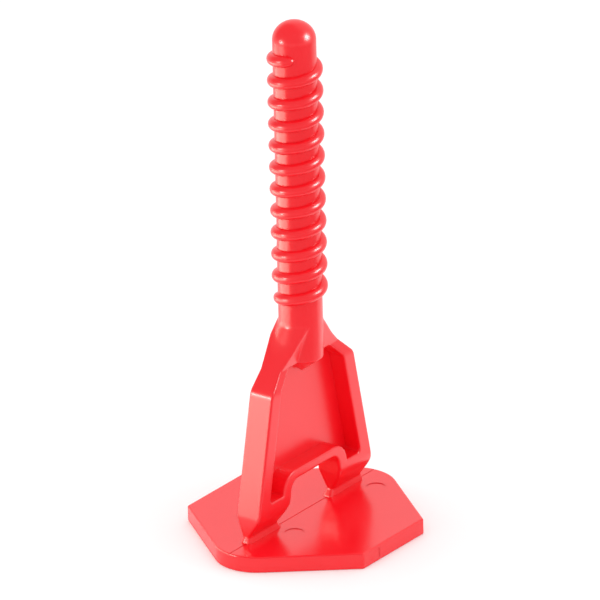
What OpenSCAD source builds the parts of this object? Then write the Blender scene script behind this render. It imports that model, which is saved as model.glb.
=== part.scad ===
// Tile levelling clip, moulded in one piece. The foot plate lies under two
// neighbouring tiles and the blade stands in the joint between them. A cap
// screws down the threaded post to level the tiles, and the two thin necks
// snap off at the end. X runs along the joint, Y across it, and Z is up from
// the underside of the plate. The pocket is in the front face, towards -Y.

/* [Foot plate] */
// Length of the plate along the joint, tip to tip
plate_length = 32; // [30:0.2:44]
// Width of the plate across the joint
plate_width = 27.9; // [22:0.1:36]
// Length of each straight side of the plate
plate_side = 13.2; // [8:0.2:16]
// Radius of the rounded tips
tip_radius = 5.9; // [3:0.1:7]
// Thickness of the plate
plate_thick = 2.2; // [1.6:0.1:3.6]

/* [Blade] */
// Thickness of the blade, which sets the width of the joint
blade_thick = 3.6; // [3:0.1:4.6]
// Height of the shoulders above the plate
shoulder_rise = 19.8; // [18:0.1:28]
// Width of the blade across its shoulders
shoulder_width = 17.8; // [15:0.2:20]
// Height above the plate at which the feet start to narrow
foot_rise = 3.5; // [2.5:0.1:4.5]
// Width of the blade across its feet
foot_width = 24.8; // [23:0.2:27]
// Slope of the two arms that carry the post
arm_angle = 43.2; // [36:0.1:48]
// Setback of the arms' front faces, just below the height at which they thicken
arm_setback = 0.6; // [0:0.05:0.8]
// Step from the arms' faces, where they are thickest, out to the side of the post
arm_step = 0.4; // [0.1:0.05:0.6]

/* [Necks] */
// Thickness of the necks at the break line
neck_thick = 1; // [0.6:0.05:1.1]
// Height of the break line above the plate
neck_rise = 0.9; // [0.6:0.1:2]
// Offset of the necks towards the back of the blade
neck_shift = 0.5; // [0:0.05:0.6]
// Amount by which each end of a neck is drawn in at the break line
neck_inset = 0.65; // [0.2:0.05:1]
// Thickness of the necks where they stand on the plate
neck_foot = 1.4; // [1.2:0.1:2.8]

/* [Window] */
// Height of the window above the plate
window_rise = 6.55; // [5.5:0.05:8]
// Width of the window along its top
window_top = 10; // [8:0.1:10.2]
// Width of the window between the feet
window_foot = 10.7; // [10.3:0.1:12]
// Radius of the upper corners of the window
window_radius = 1.5; // [0.5:0.1:2]

/* [Pocket] */
// Depth of the pocket
pocket_depth = 2.4; // [1:0.1:2.5]
// Width of the rim along the sides of the blade
rim_side = 2.1; // [1.4:0.05:2.6]
// Width of the rim along the arms
rim_arm = 1.45; // [1:0.05:2]
// Width of the rim over the window
rim_arch = 1.35; // [1:0.05:2.5]
// Width of the rim beside the window
rim_jamb = 1.75; // [1.2:0.05:3]
// Height of the pocket's two lower ends above the plate
pocket_rise = 5.2; // [4.6:0.1:6]

/* [Post] */
// Diameter of the post between the turns of the thread
core_diameter = 5.65; // [5:0.05:6.4]
// Height above the shoulders at which the post comes out of the blade
boss_lift = 2.2; // [1.6:0.1:3]
// Height above the post's foot up to which a conical collar props it on the arms
collar_rise = 5; // [4.4:0.1:5.4]
// Height of the cone that ends the post at the bottom
boss_cone = 1.9; // [1.5:0.1:3]
// Plain length of the post between the arms and the start of the thread
plain_neck = 1.55; // [1.5:0.05:8]
// Plain length of the post between the end of the thread and the tip
plain_tip = 4.35; // [4.2:0.05:10]
// Height of the rounded tip
tip_height = 2.55; // [1.5:0.05:2.8]

/* [Thread] */
// Rise of the thread in one turn
thread_pitch = 3; // [2.4:0.1:4]
// Diameter over the thread
thread_diameter = 7.2; // [6.7:0.05:8]
// Width of the thread's ridge at the post
ridge_width = 1.6; // [1.2:0.05:2]
// Height that the thread climbs from its start to its end
thread_length = 34.25; // [12:0.25:60]
// Angle round the post at which the thread starts
thread_angle = 66; // [0:1:359]
// Angle over which the ridge grows at the bottom
runout_angle = 110; // [40:5:180]
// Angle over which the ridge is rounded off at the top
tip_angle = 36; // [20:1:50]

/* [Hidden] */

// Faces along a rounded corner, along one turn of the thread and across its ridge
corner_steps = 8;
turn_steps = 30;
ridge_steps = 6;

// Overlap that joins one shape to the next, and reach of a cut past a face
join = 0.4;
past = 1;
// Step by which the threaded core stays inside the post's plain ends
tuck = 0.03;
// Share of the ridge's width that is left at its rounded end
blunt = 0.3;
// Plain land left beside the ridge at both ends of the threaded core
land = 0.2;

post_radius = core_diameter / 2;
half_blade = blade_thick / 2;
half_shoulder = shoulder_width / 2;
half_foot = foot_width / 2;
neck_z = plate_thick + neck_rise;
foot_z = plate_thick + foot_rise;
shoulder_z = plate_thick + shoulder_rise;
boss_z = shoulder_z + boss_lift;
window_z = plate_thick + window_rise;
pocket_z = plate_thick + pocket_rise;
apex_z = shoulder_z + half_shoulder * tan(arm_angle);
thread_z = apex_z + plain_neck;
thread_end_z = thread_z + thread_length;
tip_z = thread_end_z + plain_tip;
neck_top_z = thread_z - ridge_width / 2 - land;
dome_foot_z = thread_end_z + ridge_width / 2 + land;
collar_z = boss_z + collar_rise;

// Angle that the thread turns through, and the steps along it
thread_turn = 360 * thread_length / thread_pitch;
thread_steps = round(turn_steps * thread_turn / 360);

// Lean of the blade's sides and of the window's jambs, in width for height
side_lean = (half_foot - half_shoulder) / (shoulder_z - foot_z);
jamb_lean = (window_foot - window_top) / 2 / (window_z - foot_z);

// Rim widths measured along X for the sides and along Z for the arms
rim_side_x = rim_side / cos(atan(side_lean));
rim_arm_z = rim_arm / cos(arm_angle);

// Points of an arc, and of a corner b between a and c rounded to radius r
function arc(centre, r, from, to) =
    [for (i = [0:corner_steps])
        let (angle = from + (to - from) * i / corner_steps)
        centre + r * [cos(angle), sin(angle)]];
function unit(v) = v / norm(v);
function heading(v) = atan2(v.y, v.x);
function near(angle, target) = angle - 360 * round((angle - target) / 360);
function rounded(a, b, c, r) =
    let (u = unit(a - b), w = unit(c - b),
         half = acos(u * w) / 2,
         centre = b + unit(u + w) * r / sin(half),
         from = heading(b + u * r / tan(half) - centre),
         to = heading(b + w * r / tan(half) - centre))
    arc(centre, r, from, near(to, from));

// Corner of the pocket below each shoulder, set in from the side and from the arm
pocket_turn =
    let (slope = tan(arm_angle),
         top = apex_z - rim_arm_z,
         x = (half_foot - rim_side_x - side_lean * (top - foot_z)) / (1 - side_lean * slope))
    [x, top - x * slope];

// An outline that is the same on both sides of its second axis
function both_sides(half) =
    concat(half, [for (i = [len(half) - 1:-1:0]) [-half[i].x, half[i].y]]);

// Half widths of the blade's side and of the window's jamb at a height
function side_x(z) = half_foot - side_lean * (z - foot_z);
function jamb_x(z) = window_foot / 2 - jamb_lean * (z - foot_z);

// Extrudes an outline drawn in X and Z through the blade, between two depths
module through(from, to) {
    translate([0, to, 0]) rotate([90, 0, 0]) linear_extrude(to - from) children();
}

// Outline of the plate: straight sides, oblique edges and tips tangent to them
module plate_outline() {
    tip = [plate_length / 2 - tip_radius, 0];
    corner = [plate_side / 2, plate_width / 2];
    edge = corner - tip;
    touch = heading(edge) - acos(tip_radius / norm(edge));
    half = concat([[corner.x, -corner.y]], arc(tip, tip_radius, -touch, touch), [corner]);
    polygon(both_sides(half));
}

module plate() {
    linear_extrude(plate_thick) plate_outline();
}

// Outer outline of the blade, from its seat in the plate to the arms' apex
module blade_outline() {
    polygon(both_sides([
        [half_foot, plate_thick - join],
        [half_foot, plate_thick],
        [half_foot - neck_inset, neck_z],
        [half_foot, foot_z],
        [half_shoulder, shoulder_z],
        [0, apex_z]
    ]));
}

// Section of the blade across the joint, up its back and down its front: a thin neck
// below, the full thickness above it, and arms that thicken up to the collar's height
module blade_section() {
    thick = post_radius - arm_step;
    top_z = max(apex_z, collar_z) + past;
    polygon([
        [neck_shift + neck_foot / 2, plate_thick - join],
        [neck_shift + neck_foot / 2, plate_thick],
        [neck_shift + neck_thick / 2, neck_z],
        [half_blade, foot_z],
        [half_blade, boss_z],
        [thick, collar_z],
        [thick, top_z],
        [-thick, top_z],
        [-thick, collar_z],
        [arm_setback - half_blade, boss_z],
        [-half_blade, shoulder_z],
        [-half_blade, foot_z],
        [neck_shift - neck_thick / 2, neck_z],
        [neck_shift - neck_foot / 2, plate_thick],
        [neck_shift - neck_foot / 2, plate_thick - join]
    ]);
}

// The blade's section, drawn out along the joint
module blade_bar() {
    rotate([90, 0, 90]) linear_extrude(plate_length, center = true) blade_section();
}

module window_outline() {
    jamb = [window_foot / 2, foot_z];
    corner = [window_top / 2, window_z];
    polygon(both_sides(concat(
        [[jamb.x, plate_thick - past], [jamb.x, plate_thick], [jamb.x + neck_inset, neck_z], jamb],
        rounded(jamb, corner, [0, window_z], window_radius)
    )));
}

// Outline of the pocket, a set width inside the sides, the arms and the window's arch
module pocket_outline() {
    boss_x = pocket_turn.x - (boss_z - pocket_turn.y) / tan(arm_angle);
    leg = [jamb_x(pocket_z) + rim_jamb, pocket_z];
    arch = [jamb_x(window_z) + rim_jamb, window_z + rim_arch];
    polygon(both_sides(concat(
        [[0, arch.y]],
        rounded([0, arch.y], arch, leg, window_radius + rim_arch),
        [leg, [side_x(pocket_z) - rim_side_x, pocket_z], pocket_turn, [boss_x, boss_z]]
    )));
}

module blade() {
    difference() {
        intersection() {
            through(-plate_width, plate_width) blade_outline();
            blade_bar();
        }
        through(-plate_width, plate_width) window_outline();
        through(-half_blade - past, -half_blade + pocket_depth) pocket_outline();
    }
}

// A cone round the post that props it on the two arms and stays as thin as they are
module collar() {
    slope = tan(arm_angle);
    foot = [half_shoulder / 2, shoulder_z + half_shoulder / 2 * slope];
    steep = (collar_z - foot.y) / (foot.x - post_radius);
    intersection() {
        rotate_extrude($fn = 96) polygon([
            [0, boss_z],
            [foot.x + join, boss_z],
            [foot.x + join, foot.y - join * steep],
            [post_radius - join, collar_z + join * steep],
            [0, collar_z + join * steep]
        ]);
        blade_bar();
    }
}

// The post's plain ends, turned about its axis: a cone and neck below, a round tip above
module post() {
    dome = [for (p = arc([0, 0], 1, 0, 90))
        [post_radius * p.x, tip_z - tip_height * (1 - p.y)]];
    rotate_extrude($fn = 96) {
        polygon([[0, boss_z - boss_cone], [post_radius, boss_z],
            [post_radius, neck_top_z], [0, neck_top_z]]);
        polygon(concat([[0, dome_foot_z], [post_radius, dome_foot_z]], dome));
    }
}

// Shares of its full height that the ridge has at an angle along it, as it grows out of
// the core at the bottom and as it is rounded off at the top
function growth(along) = sin(90 * min(1, along / runout_angle));
function nose(along) =
    let (left = min(1, max(0, thread_turn - along) / tip_angle))
    sqrt(1 - pow(1 - left, 2));

// A point at a radius, an angle round the post and a height
function polar(r, angle, z) = [r * cos(angle), r * sin(angle), z];

// Points across the ridge, from its lower edge to its upper one, at an angle along it
function ridge_points(along) =
    let (core = post_radius - tuck,
         height = (thread_diameter / 2 - core) * min(growth(along), nose(along)),
         half = ridge_width / 2 * (blunt + (1 - blunt) * nose(along)),
         z = thread_z + thread_pitch * along / 360)
    [for (i = [0:ridge_steps])
        let (turn = 180 * i / ridge_steps)
        polar(core + height * sin(turn), thread_angle + along, z - half * cos(turn))];

// A level ring of points round the core, in step with the ridge from an angle along it
function core_ring(along, z) =
    [for (i = [0:turn_steps - 1])
        polar(post_radius - tuck, thread_angle + along + 360 * i / turn_steps, z)];

// Two triangles for the four corners of a patch, and a fan of them from one point
function patch(a, b, c, d) = [[a, b, c], [a, c, d]];
function fan(tip, rim) = [for (i = [0:len(rim) - 2]) [tip, rim[i], rim[i + 1]]];

// The threaded core: a helical ridge, the helical land between its turns, and level ends.
// Rings of points run along the helix, and one turn's upper edge joins the next one's lower.
module thread() {
    last = ridge_steps;
    size = ridge_steps + 1;
    steps = thread_steps;
    ridge = [for (i = [0:steps]) each ridge_points(thread_turn * i / steps)];
    foot = len(ridge);
    head = foot + turn_steps;
    points = concat(ridge, core_ring(0, neck_top_z - join), core_ring(thread_turn, dome_foot_z + join));

    ridge_faces = [for (i = [0:steps - 1], j = [0:last - 1])
        each patch(i * size + j, i * size + j + 1, (i + 1) * size + j + 1, (i + 1) * size + j)];
    land_faces = [for (i = [0:steps - turn_steps - 1])
        each patch(i * size + last, (i + turn_steps) * size,
            (i + turn_steps + 1) * size, (i + 1) * size + last)];
    foot_faces = [for (i = [0:turn_steps - 2])
        each patch(foot + i, i * size, (i + 1) * size, foot + i + 1)];
    foot_seam = fan((turn_steps - 1) * size, concat(
        [turn_steps * size], [for (j = [last:-1:0]) j], [foot, foot + turn_steps - 1]));
    top = steps - turn_steps;
    head_faces = [for (i = [1:turn_steps - 1])
        each patch((top + i) * size + last, head + i,
            head + (i + 1) % turn_steps, (top + i + 1) * size + last)];
    head_seam = fan((top + 1) * size + last, concat(
        [top * size + last], [for (j = [0:last]) steps * size + j], [head, head + 1]));
    ends = [[for (i = [0:turn_steps - 1]) foot + i],
        [for (i = [turn_steps - 1:-1:0]) head + i]];
    polyhedron(points, concat(ridge_faces, land_faces, foot_faces, foot_seam,
        head_faces, head_seam, ends), convexity = 10);
}

module levelling_clip() {
    color("red") {
        plate();
        blade();
        collar();
        post();
        thread();
    }
}

levelling_clip();
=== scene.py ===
# %% [markdown]
# # A tile levelling clip in moulded red plastic
# The clip is one injection-moulded piece. Its foot plate lies under two tiles, its blade stands in
# the joint between them, and a cap screws down the threaded post. The CAD solid already has the
# sizes, so this lesson only dresses it: a finer skin with the small radii that a mould leaves, a
# thread made with Geometry Nodes, and a plastic with a moulded surface. First the script loads the
# imported frame, so that everything is built in the same place.

# %% Load the frame
import math

import bmesh
import bpy
import numpy as np
from mathutils import Matrix, Vector


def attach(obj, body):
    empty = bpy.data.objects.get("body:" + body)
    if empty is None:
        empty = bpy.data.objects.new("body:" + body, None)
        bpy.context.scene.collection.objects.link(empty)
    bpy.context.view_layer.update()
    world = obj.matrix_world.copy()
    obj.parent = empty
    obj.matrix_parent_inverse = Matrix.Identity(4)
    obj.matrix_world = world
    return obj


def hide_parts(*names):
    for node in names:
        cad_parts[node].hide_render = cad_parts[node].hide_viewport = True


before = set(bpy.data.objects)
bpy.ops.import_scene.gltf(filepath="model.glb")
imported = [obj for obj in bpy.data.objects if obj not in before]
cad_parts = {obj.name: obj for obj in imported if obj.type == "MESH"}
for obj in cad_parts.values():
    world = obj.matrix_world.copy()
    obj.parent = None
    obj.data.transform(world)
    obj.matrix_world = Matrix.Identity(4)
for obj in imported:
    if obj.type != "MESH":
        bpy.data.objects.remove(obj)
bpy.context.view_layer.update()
MM = 0.001


# %% [markdown]
# ## Sizes
# These are the clip's real sizes in millimetres, as in the CAD source. A few differ a little, as the
# photo shows them: the cone under the post is steeper, and the back of the arms and the outer ends of
# the necks are fuller. X runs along the joint, Y across it with the pocketed front towards -Y, and Z
# up from the underside of the plate. Blender works in metres, so MM turns one into the other when a
# mesh is made.

# %% Sizes
plate_length, plate_width, plate_side = 32.0, 27.9, 13.2
plate_thick, tip_radius = 2.2, 5.9
half_blade, half_foot, half_shoulder = 1.8, 12.4, 8.9
neck_shift, half_neck, half_neck_foot = 0.5, 0.5, 0.7
neck_inset, neck_end_inset = 0.65, 0.15
neck_z, foot_z, shoulder_z, boss_z, collar_z = 3.1, 5.7, 22.0, 24.2, 29.2
arm_slope = math.tan(math.radians(43.2))
apex_z = shoulder_z + half_shoulder * arm_slope
post_radius, boss_cone, tip_height = 2.825, 2.2, 2.55
arm_front, arm_back = post_radius - 0.4, post_radius - 0.05
arm_setback, arm_back_drop = 0.6, 1.7
thread_height, thread_gap, tip_gap = 34.25, 1.55, 4.35
thread_z = apex_z + thread_gap
tip_z = thread_z + thread_height + tip_gap
print("tip of the post at", round(tip_z, 2), "mm")

# %% [markdown]
# ## Outlines with rounded corners
# A moulded part has hardly a sharp corner. This helper takes corners as (a, b, radius) and draws an
# arc at each one that has a radius. A second helper mirrors half an outline, because the clip is the
# same on the left and on the right.

# %% Outline helpers
def outline(corners, arc_points=9):
    """Points of a closed outline, with an arc at each corner that has a radius."""
    points = []
    for i, (a, b, radius) in enumerate(corners):
        here = np.array((a, b), float)
        if not radius:
            points.append(here)
            continue
        before = np.array(corners[i - 1][:2]) - here
        after = np.array(corners[(i + 1) % len(corners)][:2]) - here
        before = before / np.linalg.norm(before)
        after = after / np.linalg.norm(after)
        half = math.acos(np.clip(before @ after, -1, 1)) / 2
        middle = before + after
        centre = here + middle / np.linalg.norm(middle) * radius / math.sin(half)
        start = here + before * radius / math.tan(half) - centre
        stop = here + after * radius / math.tan(half) - centre
        for t in np.linspace(0, 1, arc_points):
            spoke = start * (1 - t) + stop * t
            points.append(centre + spoke / np.linalg.norm(spoke) * radius)
    return np.array(points)


def both_sides(half):
    """The corners of a whole outline, from those of its right half in order."""
    return list(half) + [(-a, b, radius) for a, b, radius in reversed(half) if a]


# %% [markdown]
# ## The blade's outlines
# The blade is a flat shape seen from the front (X and Z) and a thin one seen from its end (Y and Z).
# At the bottom it thins to the two necks, which snap when the tiles are fixed. The arms above it are
# thicker and get an end outline of their own. Both end outlines run on past the top of the arms,
# because the front outline closes them there.

# %% Blade outlines
blade_sink, clear_z = 0.3, 40.0
seat_z = plate_thick - blade_sink
side_lean = (half_foot - half_shoulder) / (shoulder_z - foot_z)
neck_round, foot_round, shoulder_round, end_round, arm_round = 0.3, 2.2, 1.8, 3.5, 0.8

blade_front = outline(both_sides([
    (half_foot, seat_z, 0), (half_foot, plate_thick, 0),
    (half_foot - neck_end_inset, neck_z, neck_round), (half_foot, foot_z, foot_round),
    (half_shoulder, shoulder_z, shoulder_round), (0, apex_z, 0)]))
blade_end = outline([
    (neck_shift + half_neck_foot, seat_z, 0), (neck_shift + half_neck_foot, plate_thick, 0),
    (neck_shift + half_neck, neck_z, neck_round), (half_blade, foot_z, end_round),
    (half_blade, clear_z, 0), (-half_blade, clear_z, 0),
    (-half_blade, foot_z, end_round), (neck_shift - half_neck, neck_z, neck_round),
    (neck_shift - half_neck_foot, plate_thick, 0), (neck_shift - half_neck_foot, seat_z, 0)])
arm_end = outline([
    (half_blade, boss_z, 0), (arm_back, collar_z - arm_back_drop, arm_round), (arm_back, clear_z, 0),
    (-arm_front, clear_z, 0), (-arm_front, collar_z, arm_round), (arm_setback - half_blade, boss_z, 0)])
print("blade outlines:", len(blade_front), "and", len(blade_end), "points, arms", len(arm_end))

# %% [markdown]
# The window lets adhesive through between the necks, and the pocket saves plastic. Both are drawn from
# the front. The pocket keeps a set distance from the sides, the arms and the window, as the rim of a
# real moulding does to keep its walls even. Over the window the rim turns a little tighter than in the
# CAD, which leaves room for a small radius at its foot.

# %% Window and pocket outlines
window_z, window_top, window_foot = 8.75, 5.0, 5.35
pocket_z, pocket_depth = 7.4, 2.4
rim_side, rim_arm, rim_arch, rim_jamb = 2.1, 1.45, 1.35, 1.75
jamb_round, window_round = 0.8, 1.5
arch_round, leg_round, pocket_round, turn_round = 2.6, 0.2, 0.5, 0.9

window_front = outline(both_sides([
    (window_foot, 0, 0), (window_foot, plate_thick, 0), (window_foot + neck_inset, neck_z, neck_round),
    (window_foot, foot_z, jamb_round), (window_top, window_z, window_round)]))

pocket_floor = -half_blade + pocket_depth
rim_side_x = rim_side * math.hypot(1, side_lean)
rim_arm_z = rim_arm * math.hypot(1, arm_slope)
jamb_lean = (window_foot - window_top) / (window_z - foot_z)
leg_x = window_foot - jamb_lean * (pocket_z - foot_z) + rim_jamb
wall_x = half_foot - side_lean * (pocket_z - foot_z) - rim_side_x
turn_x = half_foot - rim_side_x - side_lean * (apex_z - rim_arm_z - foot_z)
turn_x = turn_x / (1 - side_lean * arm_slope)
turn_z = apex_z - rim_arm_z - turn_x * arm_slope
boss_x = turn_x - (boss_z - turn_z) / arm_slope
pocket_front = outline(both_sides([
    (window_top + rim_jamb, window_z + rim_arch, arch_round), (leg_x, pocket_z, leg_round),
    (wall_x, pocket_z, pocket_round), (turn_x, turn_z, turn_round), (boss_x, boss_z, pocket_round)]))
print("pocket corner at", round(turn_x, 2), round(turn_z, 2), "mm")

# %% [markdown]
# ## The blade and post as a distance field
# The faces of the moulding run into each other in fillets, most of all where the arms meet the post.
# Bevel modifiers lose their way where so many faces meet, and a subdivided cage would soften the flat
# faces. So the shape is written as a distance: for any point, how far it is from the plastic, with a
# minus inside. Two distances are joined or cut with a radius, and that radius is the fillet.

# %% Distance helpers
def polygon_distance(a, b, points):
    """Signed distance from points (a, b) to a closed outline, negative inside it."""
    nearest, inside = np.inf, False
    for (pa, pb), (qa, qb) in zip(points, np.roll(points, -1, axis=0)):
        ea, eb = qa - pa, qb - pb
        wa, wb = a - pa, b - pb
        along = np.clip((wa * ea + wb * eb) / (ea * ea + eb * eb), 0, 1)
        nearest = np.minimum(nearest, (wa - ea * along) ** 2 + (wb - eb * along) ** 2)
        if eb != 0:
            inside = inside ^ (((pb > b) != (qb > b)) & (wa < ea * wb / eb))
    return np.where(inside, -1, 1) * np.sqrt(nearest)


def round_both(p, q, radius):
    """What is inside both distances, with the edge between them rounded."""
    return np.minimum(-radius, np.maximum(p, q)) + np.hypot(
        np.maximum(p + radius, 0), np.maximum(q + radius, 0))


def round_either(p, q, radius):
    """What is inside either distance, with a fillet between them."""
    return np.maximum(radius, np.minimum(p, q)) - np.hypot(
        np.maximum(radius - p, 0), np.maximum(radius - q, 0))


# %% [markdown]
# ## The clip's own field
# The post ends in a cone below and in a flattened dome on top. The front of each arm leans back a
# little from a mitre at the shoulder, then the arms thicken almost to the size of the post. A cone
# between the arms and the post makes the collar. The radii are small, because a wide fillet on a
# shallow crease would swell the faces beside it. The pocket is cut deeper than it is, since its floor
# comes as a piece of its own.

# %% The clip's field
setback_x, collar_x, pocket_past = 6.4, half_shoulder / 2, 0.5
edge_fillet, lean_fillet, collar_fillet, prop_fillet = 0.18, 0.1, 0.35, 0.2
arm_fillet, rim_fillet, window_fillet, boss_fillet = 0.2, 0.2, 0.35, 0.12
mitre = np.array((half_shoulder - turn_x, shoulder_z - turn_z))
mitre = np.array((-mitre[1], mitre[0])) / np.linalg.norm(mitre)
collar_lean = np.array((collar_z - shoulder_z - collar_x * arm_slope, collar_x - post_radius))
collar_lean = collar_lean / np.linalg.norm(collar_lean)
lean_run = half_shoulder - setback_x
arm_lean = arm_setback / (np.array((-lean_run, lean_run * arm_slope)) @ mitre)


def post_distance(x, y, z):
    """Distance to the plain post: a cone below, a cylinder, and a flattened dome on top."""
    r = np.hypot(x, y)
    cone = r * boss_cone - (z - boss_z + boss_cone) * post_radius
    cone = cone / math.hypot(boss_cone, post_radius)
    rise = z - (tip_z - tip_height)
    near = np.hypot(r / post_radius, rise / tip_height)
    slope = np.hypot(r / post_radius ** 2, rise / tip_height ** 2)
    dome = near * (near - 1) / np.maximum(slope, 1e-6)
    return np.where(rise > 0, dome, np.maximum(r - post_radius, cone))


def clip_distance(x, y, z):
    """Distance to the whole clip above its plate, without the thread."""
    front = polygon_distance(x, z, blade_front)
    blade = round_both(front, polygon_distance(y, z, blade_end), edge_fillet)
    climb = (np.abs(x) - half_shoulder) * mitre[0] + (z - shoulder_z) * mitre[1]
    lean = (arm_lean * climb - half_blade - y) / math.hypot(1, arm_lean)
    blade = round_both(blade, lean, lean_fillet)
    post = post_distance(x, y, z)
    collar = (np.hypot(x, y) - post_radius) * collar_lean[0] + (z - collar_z) * collar_lean[1]
    props = round_either(round_either(front, collar, collar_fillet), post, prop_fillet)
    arms = round_both(props, polygon_distance(y, z, arm_end), arm_fillet)
    solid = np.minimum(blade, arms)
    pocket = np.maximum(polygon_distance(x, z, pocket_front), y - pocket_floor - pocket_past)
    solid = round_both(solid, -pocket, rim_fillet)
    solid = round_both(solid, -polygon_distance(x, z, window_front), window_fillet)
    return round_either(solid, post, boss_fillet)


mid_thread = thread_z + thread_height / 2
print("radius of the post:", round(-float(clip_distance(0.0, 0.0, mid_thread)), 3), "mm")

# %% [markdown]
# ## Skinning the field
# The field is sampled on a grid. Each cell that the surface passes through gets one vertex, at the mean
# of the places where it crosses the cell's edges. Each grid edge that it crosses gets one quad between
# the four cells round it. Marching cubes would do as well, but leaves many thin triangles.

# %% Grid helpers
def edge_crossings(d):
    """For each axis: the grid edges that the surface crosses, how far along, and which start inside."""
    found = []
    for axis in range(3):
        last = d.shape[axis] - 1
        near = np.take(d, range(last), axis)
        far = np.take(d, range(1, last + 1), axis)
        crossed = (near < 0) != (far < 0)
        share = np.where(crossed, near / np.where(crossed, near - far, 1), 0)
        found.append((crossed, share, near < 0))
    return found


def cell_spots(edges, cells):
    """The cells that the surface passes through, and one point in each, in grid steps."""
    total, count = np.zeros(cells + (3,), np.float32), np.zeros(cells, np.int16)
    for axis, (crossed, share, _) in enumerate(edges):
        u, v = (axis + 1) % 3, (axis + 2) % 3
        for du, dv in ((0, 0), (0, 1), (1, 0), (1, 1)):
            part = [slice(None)] * 3
            part[u], part[v] = slice(du, du + cells[u]), slice(dv, dv + cells[v])
            part = tuple(part)
            total[..., axis] += share[part]
            total[..., u] += du * crossed[part]
            total[..., v] += dv * crossed[part]
            count += crossed[part]
    used = count > 0
    return used, np.argwhere(used) + total[used] / count[used][:, None]


def cell_quads(edges, used):
    """One quad for each crossed edge, between the four cells round it, facing outwards."""
    number = np.full(used.shape, -1)
    number[used] = np.arange(used.sum())
    quads = []
    for axis, (crossed, _, inside) in enumerate(edges):
        u, v = (axis + 1) % 3, (axis + 2) % 3
        ring = []
        for du, dv in ((1, 1), (0, 1), (0, 0), (1, 0)):
            cell = np.argwhere(crossed)
            cell[:, u] -= du
            cell[:, v] -= dv
            ring.append(number[tuple(cell.T)])
        ring = np.stack(ring, axis=1)
        quads.append(np.where(inside[crossed][:, None], ring, ring[:, ::-1]))
    return np.concatenate(quads)


# %% [markdown]
# Two short steps down the slope of the field then put every vertex on the exact surface, so that flat
# faces are truly flat.

# %% Skin helper
def settle(distance, spots, reach=0.01, least_slope=0.2):
    """Moves points down the slope of a distance until they lie on its surface."""
    for _ in range(2):
        slope = np.stack([
            distance(*(spots + reach * e).T) - distance(*(spots - reach * e).T)
            for e in np.eye(3)], axis=1) / (2 * reach)
        steep = np.maximum((slope ** 2).sum(1), least_slope)
        spots = spots - slope * (distance(*spots.T) / steep)[:, None]
    return spots


def skin(distance, low, high, step):
    """Vertices and quads of the surface where a distance is zero."""
    axes = [np.arange(a, b + step, step) for a, b in zip(low, high)]
    d = distance(axes[0][:, None, None], axes[1][None, :, None], axes[2][None, None, :])
    edges = edge_crossings(d)
    used, spots = cell_spots(edges, tuple(n - 1 for n in d.shape))
    return settle(distance, spots * step + np.array(low)), cell_quads(edges, used)


# %% [markdown]
# ## The blade and post
# One skin makes the necks, the blade, the arms and the plain post together, so there is no seam
# between them. It starts a little inside the plate, which hides its lower end.

# %% Blade and post
def put(name, data):
    """An object at the origin, in the scene, that holds a mesh, a lens or a light."""
    made = bpy.data.objects.new(name, data)
    bpy.context.scene.collection.objects.link(made)
    return made


def new_piece(name, vertices, faces):
    """A smooth-shaded mesh object at the origin, from millimetres."""
    mesh = bpy.data.meshes.new(name)
    mesh.from_pydata((np.asarray(vertices) * MM).tolist(), [], np.asarray(faces).tolist())
    mesh.shade_smooth()
    return put(name, mesh)


grid_step, grid_margin, grid_y = 0.165, 0.5, 3.4
grid_low = (-half_foot - grid_margin, -grid_y, seat_z - grid_margin)
grid_high = (half_foot + grid_margin, grid_y, tip_z + grid_margin)
blade_and_post = new_piece("blade_and_post", *skin(clip_distance, grid_low, grid_high, grid_step))
print("blade and post:", len(blade_and_post.data.polygons), "quads")

# %% [markdown]
# ## The floor of the pocket
# The mould has a sharp corner where the pocket's walls meet its floor. A skin shades such a corner
# smoothly and would show a pale line there. So the floor is a flat slab, set a little into the walls
# all round, and the corner is just where two flat faces cross. A bmesh face is drawn from the outline
# and pushed back.

# %% Pocket floor
def slabs(name, *blocks):
    """A piece of flat closed slabs, each a face through points in millimetres, pushed by a depth."""
    shape = bmesh.new()
    for points, depth in blocks:
        face = shape.faces.new([shape.verts.new(Vector(p) * MM) for p in points])
        pushed = bmesh.ops.extrude_face_region(shape, geom=[face])
        bmesh.ops.translate(shape, vec=Vector(depth) * MM,
                            verts=[v for v in pushed["geom"] if isinstance(v, bmesh.types.BMVert)])
    bmesh.ops.recalc_face_normals(shape, faces=shape.faces)
    mesh = bpy.data.meshes.new(name)
    shape.to_mesh(mesh)
    shape.free()
    return put(name, mesh)


web_grip, web_thick = 0.3, 0.9
ahead = np.roll(pocket_front, -1, axis=0) - np.roll(pocket_front, 1, axis=0)
outward = np.stack([ahead[:, 1], -ahead[:, 0]], axis=1) / np.linalg.norm(ahead, axis=1)[:, None]
web_edge = [(x, pocket_floor, z) for x, z in pocket_front + web_grip * outward]
pocket_web = slabs("pocket_web", (web_edge, (0, web_thick, 0)))
print("pocket floor:", len(pocket_web.data.polygons), "faces")

# %% [markdown]
# ## The foot plate
# The plate is a flat slab with straight sides and two round tips, and a Bevel modifier rounds its
# edges. The modifier stays live for now, because the marks of the mould are cut next.

# %% Foot plate
def plate_points(tip_points=25):
    """Outline of the plate: its tips are arcs, tangent to the oblique edges."""
    tip = np.array((plate_length / 2 - tip_radius, 0))
    corner = np.array((plate_side / 2, plate_width / 2))
    edge = corner - tip
    touch = math.atan2(edge[1], edge[0]) - math.acos(tip_radius / np.linalg.norm(edge))
    turns = np.linspace(-touch, touch, tip_points)
    arc = [tip + tip_radius * np.array((math.cos(a), math.sin(a))) for a in turns]
    right = [corner * (1, -1), *arc, corner]
    return right + [p * (-1, 1) for p in reversed(right)]


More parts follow.
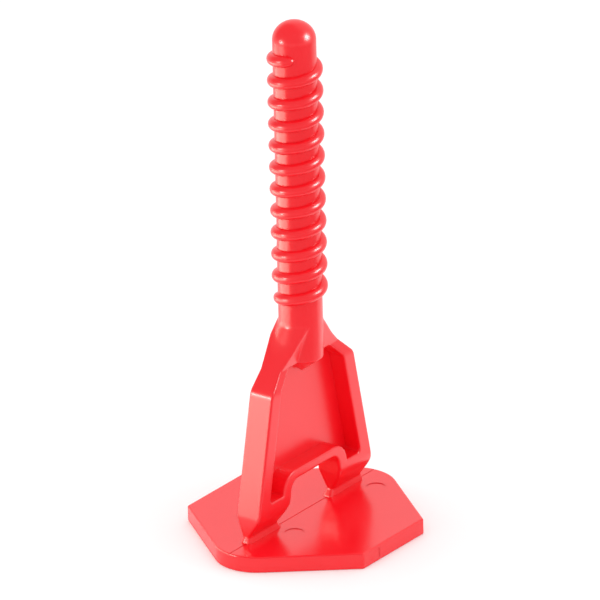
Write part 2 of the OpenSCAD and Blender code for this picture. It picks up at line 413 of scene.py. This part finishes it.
edge_radius, edge_segments, least_corner = 0.22, 4, 25
foot_plate = slabs("foot_plate", ([(*p, plate_thick) for p in plate_points()], (0, 0, -plate_thick)))
foot_plate.data.shade_smooth()
bevel = foot_plate.modifiers.new("rounded_edges", "BEVEL")
bevel.width, bevel.segments = edge_radius * MM, edge_segments
bevel.limit_method, bevel.angle_limit = "ANGLE", math.radians(least_corner)
print("foot plate:", len(foot_plate.data.polygons), "faces before its bevel")

# %% [markdown]
# ## Marks of the mould
# Two halves of the mould meet along the joint and leave a fine line across the plate. Beside the blade
# two ejector pins have pushed the clip out, and each leaves a shallow round dimple. A gate trimmed off
# the front edge leaves a short upright line. One hidden cutter holds all four, and a Boolean modifier
# takes it out of the plate. Weighted normals then keep the broad faces flat in reflections, although
# every face is shaded smooth.

# %% Mould marks
def plain_mesh(piece):
    """Turns an object's modifiers into a plain mesh."""
    depsgraph = bpy.context.evaluated_depsgraph_get()
    mesh = bpy.data.meshes.new_from_object(piece.evaluated_get(depsgraph))
    piece.modifiers.clear()
    piece.data = mesh
    return piece


mark_depth, half_line, pin_radius, pin_points = 0.08, 0.09, 1.25, 48
line_y, gate_x, gate_low, gate_high = 0.45, -3.2, 0.5, 1.8
pin_places = [(-5.95, -2.57), (11.43, -2.95)]
mark_z, mark_y = plate_thick - mark_depth, mark_depth - plate_width / 2
far_x = plate_length / 2 + 1
up_and_out, front_and_out = (0, 0, 1), (0, -1, 0)

cuts = [([(x, y, mark_z) for x, y in (
    (-far_x, line_y - half_line), (far_x, line_y - half_line),
    (far_x, line_y + half_line), (-far_x, line_y + half_line))], up_and_out)]
for x, y in pin_places:
    cuts.append(([(x + pin_radius * math.cos(a), y + pin_radius * math.sin(a), mark_z)
                  for a in np.linspace(0, 2 * math.pi, pin_points, endpoint=False)], up_and_out))
cuts.append(([(x, mark_y, z) for x, z in (
    (gate_x - half_line, gate_low), (gate_x + half_line, gate_low),
    (gate_x + half_line, gate_high), (gate_x - half_line, gate_high))], front_and_out))

mark_cutter = slabs("mark_cutter", *cuts)
marks = foot_plate.modifiers.new("mould_marks", "BOOLEAN")
marks.operation, marks.solver, marks.object = "DIFFERENCE", "EXACT", mark_cutter
flat = foot_plate.modifiers.new("flat_faces", "WEIGHTED_NORMAL")
flat.mode, flat.weight = "FACE_AREA", 100
bpy.context.view_layer.update()
plain_mesh(foot_plate)
bpy.data.objects.remove(mark_cutter)
print("foot plate:", len(foot_plate.data.polygons), "faces with", len(cuts), "marks")

# %% [markdown]
# ## Helpers for nodes
# The next cells build several node trees, for the plastic, the thread and the light. Three short
# helpers keep them readable: one adds a node with its values, one makes a group with named sockets,
# and one chains Math nodes.

# %% Node helpers
def add_node(tree, kind, **settings):
    """A node of a tree, with its settings and its inputs' values by name."""
    made = tree.nodes.new(kind)
    for name, value in settings.items():
        if name in made.inputs:
            made.inputs[name].default_value = value
        else:
            setattr(made, name, value)
    return made


def new_group(name, kind, inputs, outputs):
    """A node group with named sockets, and its two end nodes."""
    group = bpy.data.node_groups.new(name, kind)
    for socket, sort, value in inputs:
        made = group.interface.new_socket(socket, in_out="INPUT", socket_type=sort)
        if value is not None:
            made.default_value = value
    for socket, sort in outputs:
        group.interface.new_socket(socket, in_out="OUTPUT", socket_type=sort)
    return group, group.nodes.new("NodeGroupInput"), group.nodes.new("NodeGroupOutput")


def math_node(tree, operation, first, second=None):
    """A Math node fed by sockets or plain numbers. Returns its output."""
    made = add_node(tree, "ShaderNodeMath", operation=operation)
    for socket, value in zip(made.inputs, (first, second)):
        if isinstance(value, (int, float)):
            socket.default_value = value
        elif value is not None:
            tree.links.new(value, socket)
    return made.outputs[0]


# %% [markdown]
# ## The plastic's surface
# Moulded plastic is never a flat colour. The tool leaves a very fine grain, the melt cools in faint
# clouds, and the gloss changes with them. This node group puts those out as values, so that every
# material of the clip can use it with its own amounts.

# %% Moulded grain
FLOAT, VECTOR = "NodeSocketFloat", "NodeSocketVector"
grain, grain_in, grain_out = new_group(
    "moulded_grain", "ShaderNodeTree",
    [("Place", VECTOR, None), ("Grain Size", FLOAT, 2600.0), ("Cloud Size", FLOAT, 160.0),
     ("Roughness", FLOAT, 0.25), ("Roughness Change", FLOAT, 0.06)],
    [("Cloud", FLOAT), ("Roughness", FLOAT), ("Height", FLOAT)])
cloud = add_node(grain, "ShaderNodeTexNoise", Detail=3.0, Roughness=0.55)
pits = add_node(grain, "ShaderNodeTexNoise", Detail=2.0, Roughness=0.5)
for texture, size in ((cloud, "Cloud Size"), (pits, "Grain Size")):
    grain.links.new(grain_in.outputs["Place"], texture.inputs["Vector"])
    grain.links.new(grain_in.outputs[size], texture.inputs["Scale"])
shift = math_node(grain, "SUBTRACT", cloud.outputs["Fac"], 0.5)
shift = math_node(grain, "MULTIPLY", shift, grain_in.outputs["Roughness Change"])
gloss = math_node(grain, "ADD", shift, grain_in.outputs["Roughness"])
grain.links.new(gloss, grain_out.inputs["Roughness"])
grain.links.new(cloud.outputs["Fac"], grain_out.inputs["Cloud"])
grain.links.new(pits.outputs["Fac"], grain_out.inputs["Height"])
print("node group:", grain.name, [s.name for s in grain.interface.items_tree])

# %% [markdown]
# ## The red plastic
# A saturated red with a smooth satin gloss. The clouds move its colour a little between two reds, and
# the grain feeds a Bump node with a real depth of a few thousandths of a millimetre. The plate came off
# a smoother face of the mould, so it has a material of its own. The roughness of the body was moved up
# a little from 0.27, where the clouds showed as fine lines on the flat faces, and the plate's with it.

# %% Red plastic
plastic_ior, grain_depth, grain_strength = 1.57, 0.003, 0.3
deep_red, clear_red = (0.92, 0.004, 0.012, 1), (0.98, 0.007, 0.016, 1)


def red_plastic(name, roughness, change):
    """A moulded red plastic with its own gloss."""
    material = bpy.data.materials.new(name)
    material.use_nodes = True
    tree = material.node_tree
    shader = tree.nodes["Principled BSDF"]
    shader.inputs["IOR"].default_value = plastic_ior
    place = tree.nodes.new("ShaderNodeTexCoord")
    surface = tree.nodes.new("ShaderNodeGroup")
    surface.node_tree = grain
    surface.inputs["Roughness"].default_value = roughness
    surface.inputs["Roughness Change"].default_value = change
    reds = tree.nodes.new("ShaderNodeValToRGB")
    reds.color_ramp.elements[0].color = deep_red
    reds.color_ramp.elements[1].color = clear_red
    bump = add_node(tree, "ShaderNodeBump", Strength=grain_strength, Distance=grain_depth * MM)
    tree.links.new(place.outputs["Object"], surface.inputs["Place"])
    tree.links.new(surface.outputs["Cloud"], reds.inputs["Fac"])
    tree.links.new(reds.outputs["Color"], shader.inputs["Base Color"])
    tree.links.new(surface.outputs["Roughness"], shader.inputs["Roughness"])
    tree.links.new(surface.outputs["Height"], bump.inputs["Height"])
    tree.links.new(bump.outputs["Normal"], shader.inputs["Normal"])
    return material


body_plastic = red_plastic("red_plastic_body", roughness=0.285, change=0.04)
plate_plastic = red_plastic("red_plastic_plate", roughness=0.217, change=0.04)
blade_and_post.data.materials.append(body_plastic)
pocket_web.data.materials.append(body_plastic)
foot_plate.data.materials.append(plate_plastic)
print("materials:", body_plastic.name, plate_plastic.name)

# %% [markdown]
# ## The thread
# The thread is a round ridge that winds up the post. It follows a path, so it is made with Geometry
# Nodes: a Spiral curve, a round profile swept along it, and a scale that lets the ridge grow out of
# the post at the bottom and ends it in a round nose at the top. The inner half of the sweep stays
# hidden in the post. The first part of the tree lays the path.

# %% Thread path
thread_tree, thread_in, thread_out = new_group(
    "thread_ridge", "GeometryNodeTree",
    [("Geometry", "NodeSocketGeometry", None), ("Turns", FLOAT, 11.0), ("Pitch", FLOAT, 0.003),
     ("Path Radius", FLOAT, 0.0028), ("Ridge Height", FLOAT, 0.0008), ("Ridge Width", FLOAT, 0.0016),
     ("Start Angle", FLOAT, 0.0), ("Start Height", FLOAT, 0.0), ("Run-in Turns", FLOAT, 0.3),
     ("Nose Turns", FLOAT, 0.08), ("Plastic", "NodeSocketMaterial", None)],
    [("Geometry", "NodeSocketGeometry")])
sizes, thread_link = thread_in.outputs, thread_tree.links.new


def thread_math(operation, first, second=None):
    """A Math node of the thread's tree."""
    return math_node(thread_tree, operation, first, second)


spiral = add_node(thread_tree, "GeometryNodeCurveSpiral", Resolution=96, Reverse=True)
thread_link(sizes["Turns"], spiral.inputs["Rotations"])
thread_link(sizes["Path Radius"], spiral.inputs["Start Radius"])
thread_link(sizes["Path Radius"], spiral.inputs["End Radius"])
thread_link(thread_math("MULTIPLY", sizes["Turns"], sizes["Pitch"]), spiral.inputs["Height"])
turned = thread_tree.nodes.new("GeometryNodeTransform")
angle = thread_tree.nodes.new("ShaderNodeCombineXYZ")
lift = thread_tree.nodes.new("ShaderNodeCombineXYZ")
thread_link(sizes["Start Angle"], angle.inputs["Z"])
thread_link(sizes["Start Height"], lift.inputs["Z"])
thread_link(spiral.outputs["Curve"], turned.inputs["Geometry"])
thread_link(angle.outputs["Vector"], turned.inputs["Rotation"])
thread_link(lift.outputs["Vector"], turned.inputs["Translation"])
upright = add_node(thread_tree, "GeometryNodeSetCurveNormal", mode="Z_UP")
thread_link(turned.outputs["Geometry"], upright.inputs["Curve"])
print("thread tree:", len(thread_tree.nodes), "nodes for the path")

# %% [markdown]
# The ridge's scale comes from how far along the path a point is, counted in turns from either end. A
# quarter circle rounds the nose, and a sine lets the ridge grow slowly at the bottom. It never falls
# to nothing, so that the two caps keep an area.

# %% Thread growth
least_growth = 0.02
along = thread_tree.nodes.new("GeometryNodeSplineParameter").outputs["Factor"]
from_start = thread_math("MULTIPLY", along, sizes["Turns"])
to_end = thread_math("SUBTRACT", sizes["Turns"], from_start)
rise = thread_math("MINIMUM", thread_math("DIVIDE", from_start, sizes["Run-in Turns"]), 1.0)
rise = thread_math("SINE", thread_math("MULTIPLY", rise, math.pi / 2))
left = thread_math("MINIMUM", thread_math("DIVIDE", to_end, sizes["Nose Turns"]), 1.0)
gap = thread_math("SUBTRACT", 1.0, left)
nose = thread_math("SUBTRACT", 1.0, thread_math("MULTIPLY", gap, gap))
nose = thread_math("SQRT", thread_math("MAXIMUM", nose, 0.0))
grown = thread_math("MAXIMUM", thread_math("MINIMUM", rise, nose), least_growth)
print("thread tree:", len(thread_tree.nodes), "nodes with the growth")

# %% [markdown]
# The profile is a circle, squashed to the ridge's height and width. Curve to Mesh sweeps it along the
# path and closes both ends. The tree ends in Realize Instances and Set Material, so that the result is
# a plain mesh in the right plastic.

# %% Thread sweep
ring = add_node(thread_tree, "GeometryNodeCurvePrimitiveCircle", Resolution=24, Radius=1.0)
squash = thread_tree.nodes.new("GeometryNodeTransform")
ring_size = add_node(thread_tree, "ShaderNodeCombineXYZ", Z=1.0)
thread_link(sizes["Ridge Height"], ring_size.inputs["X"])
thread_link(thread_math("MULTIPLY", sizes["Ridge Width"], 0.5), ring_size.inputs["Y"])
thread_link(ring.outputs["Curve"], squash.inputs["Geometry"])
thread_link(ring_size.outputs["Vector"], squash.inputs["Scale"])
sweep = thread_tree.nodes.new("GeometryNodeCurveToMesh")
sweep.inputs["Fill Caps"].default_value = True
thread_link(upright.outputs["Curve"], sweep.inputs["Curve"])
thread_link(squash.outputs["Geometry"], sweep.inputs["Profile Curve"])
thread_link(grown, sweep.inputs["Scale"])
smooth = thread_tree.nodes.new("GeometryNodeSetShadeSmooth")
real = thread_tree.nodes.new("GeometryNodeRealizeInstances")
dress = thread_tree.nodes.new("GeometryNodeSetMaterial")
thread_link(sweep.outputs["Mesh"], smooth.inputs["Geometry"])
thread_link(smooth.outputs["Geometry"], real.inputs["Geometry"])
thread_link(real.outputs["Geometry"], dress.inputs["Geometry"])
thread_link(sizes["Plastic"], dress.inputs["Material"])
thread_link(dress.outputs["Geometry"], thread_out.inputs["Geometry"])
print("thread tree:", len(thread_tree.nodes), "nodes in all")

# %% [markdown]
# A modifier's inputs are set by their identifiers, because two sockets may share a name. They are set
# before Blender evaluates the object. The result is then kept as a plain mesh. The path lies a hair
# inside the post, so that no gap opens between the ridge and the skin.

# %% Thread
def node_piece(name, tree, values):
    """A plain mesh object made by a Geometry Nodes tree with these input values."""
    piece = put(name, bpy.data.meshes.new(name))
    modifier = piece.modifiers.new(name, "NODES")
    modifier.node_group = tree
    for item in tree.interface.items_tree:
        if item.in_out == "INPUT" and item.name in values:
            modifier[item.identifier] = values[item.name]
    piece.update_tag()
    bpy.context.view_layer.update()
    return plain_mesh(piece)


thread_pitch, thread_radius, ridge_width, thread_sink = 3.0, 3.6, 1.6, 0.02
thread_angle, run_in_angle, nose_angle = 66, 110, 30
path_radius = post_radius - thread_sink
thread = node_piece("thread", thread_tree, {
    "Turns": thread_height / thread_pitch, "Pitch": thread_pitch * MM,
    "Path Radius": path_radius * MM, "Ridge Height": (thread_radius - path_radius) * MM,
    "Ridge Width": ridge_width * MM, "Start Angle": math.radians(thread_angle),
    "Start Height": thread_z * MM, "Run-in Turns": run_in_angle / 360,
    "Nose Turns": nose_angle / 360, "Plastic": body_plastic})
spots = np.array([v.co for v in thread.data.vertices]) / MM
print("thread:", len(thread.data.polygons), "faces, radius",
      round(float(np.hypot(spots[:, 0], spots[:, 1]).max()), 3), "mm, from",
      round(float(spots[:, 2].min()), 2), "to", round(float(spots[:, 2].max()), 2), "mm")

# %% [markdown]
# ## Floor, light and camera
# A white floor under the clip glows a little to the camera and in reflections. This makes the
# background white and still keeps the shadow, which a brighter lamp would wash out.

# %% Floor
def matt(name, shade, roughness):
    """A matt material in a plain shade of grey, and its shader."""
    material = bpy.data.materials.new(name)
    material.use_nodes = True
    shader = material.node_tree.nodes["Principled BSDF"]
    shader.inputs["Base Color"].default_value = (shade, shade, shade, 1)
    shader.inputs["Roughness"].default_value = roughness
    return material, shader


bpy.context.scene.view_settings.view_transform = "Standard"
half_floor, paper_glow = 3000, 0.12
floor = new_piece("floor", [(-half_floor, -half_floor, 0), (half_floor, -half_floor, 0),
                            (half_floor, half_floor, 0), (-half_floor, half_floor, 0)], [range(4)])
paper, paper_shader = matt("white_paper", 0.9, 0.9)
paper_shader.inputs["Emission Color"].default_value = (1, 1, 1, 1)
paper_tree = paper.node_tree
paths = paper_tree.nodes.new("ShaderNodeLightPath")
glow = math_node(paper_tree, "MAXIMUM", paths.outputs["Is Camera Ray"], paths.outputs["Is Glossy Ray"])
glow = math_node(paper_tree, "MULTIPLY", glow, paper_glow)
paper_tree.links.new(glow, paper_shader.inputs["Emission Strength"])
floor.data.materials.append(paper)
print("floor:", 2 * half_floor * MM, "m wide")

# %% [markdown]
# A white world lights the clip evenly, so that its red shows as it is written. Two dim patches high up
# in it show in the gloss: one behind on the left, in the arms, and one above the camera, in the thread
# and the round tip. They keep those faces a deep red. Away from them the world looks plain white.

# %% World
room_level, seen_level = 1.08, 1.0
world = bpy.data.worlds.new("white_room")
bpy.context.scene.world = world
world.use_nodes = True
room_tree = world.node_tree
room = room_tree.nodes["Background"]
room.inputs["Color"].default_value = (1, 1, 1, 1)
rays = room_tree.nodes.new("ShaderNodeLightPath")
seen = math_node(room_tree, "MAXIMUM", rays.outputs["Is Camera Ray"], rays.outputs["Is Glossy Ray"])
seen = math_node(room_tree, "MAXIMUM", seen, rays.outputs["Is Transmission Ray"])
sky = room_tree.nodes.new("ShaderNodeTexCoord").outputs["Generated"]


def dim_patch(direction, edge, core, depth):
    """How much darker the room is round a direction, between the cosines at its edge and its core."""
    way = add_node(room_tree, "ShaderNodeVectorMath", operation="DOT_PRODUCT")
    way.inputs[1].default_value = Vector(direction).normalized()
    room_tree.links.new(sky, way.inputs[0])
    fade = add_node(room_tree, "ShaderNodeMapRange", interpolation_type="SMOOTHSTEP")
    fade.inputs["From Min"].default_value = edge
    fade.inputs["From Max"].default_value = core
    fade.inputs["To Min"].default_value = room_level - seen_level
    fade.inputs["To Max"].default_value = depth
    room_tree.links.new(way.outputs["Value"], fade.inputs["Value"])
    return fade.outputs["Result"]


arms_dim = dim_patch((-0.45, 0.45, 0.77), edge=0.45, core=0.75, depth=0.83)
tip_dim = dim_patch((-0.6, -0.44, 0.67), edge=0.3, core=0.75, depth=0.8)
dimmed = math_node(room_tree, "MAXIMUM", arms_dim, tip_dim)
dimmed = math_node(room_tree, "MULTIPLY", seen, dimmed)
room_tree.links.new(math_node(room_tree, "SUBTRACT", room_level, dimmed), room.inputs["Strength"])
print("world:", len(room_tree.nodes), "nodes")

# %% [markdown]
# The camera was found by fitting the edges of the plate, the blade and the post to the photo. It
# stands far away behind a long lens and is rolled a little. Its focal length was found in pixels, so
# the width of the picture turns it into millimetres.

# %% Camera
azimuth, elevation, roll = math.radians(-53.631), math.radians(23.403), math.radians(-1.364)
aim_right, aim_z, camera_far = -0.037, 31.846, 2477
focal_pixels, picture_pixels, sensor_width = 19377, 600, 36
back = Vector((math.sin(azimuth) * math.cos(elevation), -math.cos(azimuth) * math.cos(elevation),
               math.sin(elevation)))
right = Vector((math.cos(azimuth), math.sin(azimuth), 0))
up = back.cross(right)
tilted_right = right * math.cos(roll) + up * math.sin(roll)
tilted_up = up * math.cos(roll) - right * math.sin(roll)
stand = (right * aim_right + Vector((0, 0, aim_z)) + back * camera_far) * MM
lens = bpy.data.cameras.new("camera")
lens.sensor_fit, lens.sensor_width = "HORIZONTAL", sensor_width
lens.lens = sensor_width * focal_pixels / picture_pixels
lens.clip_start, lens.clip_end = 0.05, 20
camera = put("camera", lens)
turn = Matrix((tilted_right, tilted_up, back)).transposed()
camera.matrix_world = Matrix.Translation(stand) @ turn.to_4x4()
bpy.context.scene.camera = camera
print("camera at", [round(v, 3) for v in stand])

# %% [markdown]
# The cards stand beside the clip, out of the picture. They only show in the plastic's gloss and do
# not brighten its colour. The warm one on the left makes the pale streak along the post and the pale
# end of the blade. The small bright one behind it makes the glints on the shoulder and at the foot of
# the post.

# %% Cards
def card(name, place, target, width, height, level, colour):
    """A soft light card that shows only in reflections. A level of 1 looks white."""
    light = bpy.data.lights.new(name, "AREA")
    light.shape, light.size, light.size_y = "RECTANGLE", width * MM, height * MM
    light.energy = level * math.pi * light.size * light.size_y
    light.color = colour
    lamp = put(name, light)
    lamp.location = Vector(place) * MM
    lamp.rotation_euler = (Vector(target) - Vector(place)).to_track_quat("-Z", "Y").to_euler()
    lamp.visible_camera = False
    lamp.visible_diffuse = False
    return lamp


white, warm, faintly_warm = (1, 1, 1), (1, 0.92, 0.76), (1, 0.96, 0.9)
cards = [
    card("left_card", (-38, 51, 20), (0, 0, 20), 88, 40, 4.6, warm),
    card("floor_card", (46, -34, 0.5), (46, -34, 50), 64, 64, 0.35, white),
    card("right_card", (60, -130, 120), (0, 0, 40), 64, 64, 22, white),
    card("back_card", (-205, 136, 63), (0, 0, 22), 60, 36, 36, faintly_warm)]
print("cards:", [lamp.name for lamp in cards])

# %% [markdown]
# The front of the post would mirror the white floor and look washed out. A photographer lays a dark
# cloth there. This one shows only in reflections, and it starts far enough from the clip to leave the
# lower half of the blade bright.

# %% Grey flag
flag_z, cloth_grey = 0.5, 0.25
flag_corners = [(-47, 17), (-40, -30), (0, -50), (40, -40), (234, -183), (-200, -330), (-307, 103)]
flag = new_piece("grey_flag", [(x, y, flag_z) for x, y in flag_corners], [range(len(flag_corners))])
flag.visible_camera = flag.visible_diffuse = flag.visible_shadow = False
cloth, _ = matt("grey_cloth", cloth_grey, 1.0)
flag.data.materials.append(cloth)
print("grey flag:", len(flag_corners), "corners")

# %% [markdown]
# ## Riding on the frame
# The four pieces stand for the one CAD solid, and nothing moves, so they all ride on its root. The
# CAD solid itself is hidden.

# %% Finish
for piece in (blade_and_post, pocket_web, foot_plate, thread):
    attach(piece, "root")
    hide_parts("levelling_clip")
